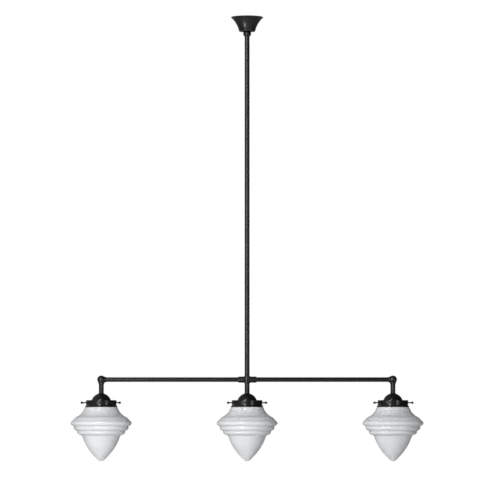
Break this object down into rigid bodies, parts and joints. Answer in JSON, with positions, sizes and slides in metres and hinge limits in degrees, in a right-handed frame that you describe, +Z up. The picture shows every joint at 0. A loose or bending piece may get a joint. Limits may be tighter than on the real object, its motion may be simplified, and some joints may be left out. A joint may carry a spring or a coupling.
{
  "type": "linear island pendant",
  "caption": "Black rod pendant with a bell canopy, a long crossbar with ball elbows and short stems that hold stepped acorn shades of opal glass.",
  "frame": {"origin": "middle of the ceiling bracket on the ceiling plane", "axes": "+Z up out of the bracket into the ceiling, X along the crossbar, -Y towards the viewer"},
  "size_m": [1.1432, 0.1992, 1.4454],
  "materials": {
    "black_metal": "satin",
    "opal_glass": "gloss",
    "zinc_steel": "satin",
    "brass": "satin",
    "holder_plastic": "gloss",
    "block_plastic": "matte",
    "cable_sheath": "matte",
    "bulb_glass": "frosted",
    "bulb_cap_metal": "satin"
  },
  "bodies": {
    "bracket": {"ceiling_bracket": "zinc_steel"},
    "hook": {"ceiling_hook": "zinc_steel", "hook_nuts": "zinc_steel"},
    "collar": {"canopy_collar": "black_metal", "collar_set_screw": "zinc_steel"},
    "canopy": {"canopy": "black_metal"},
    "bulb_left": {"bulb_left": "bulb_glass", "bulb_cap_left": "bulb_cap_metal"},
    "thumbscrew_left_front_left": {"thumbscrew_left_front_left": "black_metal"},
    "thumbscrew_left_front_right": {"thumbscrew_left_front_right": "black_metal"},
    "thumbscrew_left_back": {"thumbscrew_left_back": "black_metal"},
    "bulb_middle": {"bulb_middle": "bulb_glass", "bulb_cap_middle": "bulb_cap_metal"},
    "thumbscrew_middle_front_left": {"thumbscrew_middle_front_left": "black_metal"},
    "thumbscrew_middle_front_right": {"thumbscrew_middle_front_right": "black_metal"},
    "thumbscrew_middle_back": {"thumbscrew_middle_back": "black_metal"},
    "bulb_right": {"bulb_right": "bulb_glass", "bulb_cap_right": "bulb_cap_metal"},
    "thumbscrew_right_front_left": {"thumbscrew_right_front_left": "black_metal"},
    "thumbscrew_right_front_right": {"thumbscrew_right_front_right": "black_metal"},
    "thumbscrew_right_back": {"thumbscrew_right_back": "black_metal"},
    "frame": {"bar_left": "black_metal", "bar_right": "black_metal", "cable_left": "cable_sheath", "cable_middle": "cable_sheath", "cable_right": "cable_sheath", "cross_fitting": "black_metal", "dome_left": "black_metal", "dome_middle": "black_metal", "dome_right": "black_metal", "end_ball_left": "black_metal", "end_ball_right": "black_metal", "gallery_left": "black_metal", "gallery_middle": "black_metal", "gallery_right": "black_metal", "lampholder_left": "holder_plastic", "lampholder_middle": "holder_plastic", "lampholder_right": "holder_plastic", "rod": "black_metal", "shade_bowl_left": "opal_glass", "shade_bowl_middle": "opal_glass", "shade_bowl_right": "opal_glass", "shade_left": "opal_glass", "shade_middle": "opal_glass", "shade_right": "opal_glass", "shade_rings": "holder_plastic", "socket_contacts": "brass", "socket_liners": "brass", "stem_left": "black_metal", "stem_middle": "black_metal", "stem_right": "black_metal", "suspension_loop": "zinc_steel", "terminal_block": "block_plastic", "terminal_screws": "brass", "threaded_bushes": "brass", "threaded_nipples": "brass"}
  },
  "joints": [
    {"name": "hook_turn", "type": "hinge", "parent": "bracket", "child": "hook", "pos_m": [0, 0, -0.008], "axis": [0, 0, 1], "range_deg": [-180, 180]},
    {"name": "pendant_swing", "type": "hinge", "parent": "hook", "child": "frame", "pos_m": [0, 0, -0.02967], "axis": [1, 0, 0], "range_deg": [-3, 3]},
    {"name": "collar_slide", "type": "slide", "parent": "frame", "child": "collar", "axis": [0, 0, -1], "range_m": [0, 1.05]},
    {"name": "canopy_turn", "type": "hinge", "parent": "collar", "child": "canopy", "pos_m": [0, 0, -0.05], "axis": [0, 0, 1], "continuous": true},
    {"name": "bulb_left_out", "type": "slide", "parent": "frame", "child": "bulb_left", "axis": [0, 0, -1], "range_m": [0, 0.024]},
    {"name": "thumbscrew_left_front_left_out", "type": "slide", "parent": "frame", "child": "thumbscrew_left_front_left", "axis": [-0.866, -0.5, 0], "range_m": [0, 0.006]},
    {"name": "thumbscrew_left_front_right_out", "type": "slide", "parent": "frame", "child": "thumbscrew_left_front_right", "axis": [0.866, -0.5, 0], "range_m": [0, 0.006]},
    {"name": "thumbscrew_left_back_out", "type": "slide", "parent": "frame", "child": "thumbscrew_left_back", "axis": [0, 1, 0], "range_m": [0, 0.006]},
    {"name": "bulb_middle_out", "type": "slide", "parent": "frame", "child": "bulb_middle", "axis": [0, 0, -1], "range_m": [0, 0.024]},
    {"name": "thumbscrew_middle_front_left_out", "type": "slide", "parent": "frame", "child": "thumbscrew_middle_front_left", "axis": [-0.866, -0.5, 0], "range_m": [0, 0.006]},
    {"name": "thumbscrew_middle_front_right_out", "type": "slide", "parent": "frame", "child": "thumbscrew_middle_front_right", "axis": [0.866, -0.5, 0], "range_m": [0, 0.006]},
    {"name": "thumbscrew_middle_back_out", "type": "slide", "parent": "frame", "child": "thumbscrew_middle_back", "axis": [0, 1, 0], "range_m": [0, 0.006]},
    {"name": "bulb_right_out", "type": "slide", "parent": "frame", "child": "bulb_right", "axis": [0, 0, -1], "range_m": [0, 0.024]},
    {"name": "thumbscrew_right_front_left_out", "type": "slide", "parent": "frame", "child": "thumbscrew_right_front_left", "axis": [-0.866, -0.5, 0], "range_m": [0, 0.006]},
    {"name": "thumbscrew_right_front_right_out", "type": "slide", "parent": "frame", "child": "thumbscrew_right_front_right", "axis": [0.866, -0.5, 0], "range_m": [0, 0.006]},
    {"name": "thumbscrew_right_back_out", "type": "slide", "parent": "frame", "child": "thumbscrew_right_back", "axis": [0, 1, 0], "range_m": [0, 0.006]}
  ]
}
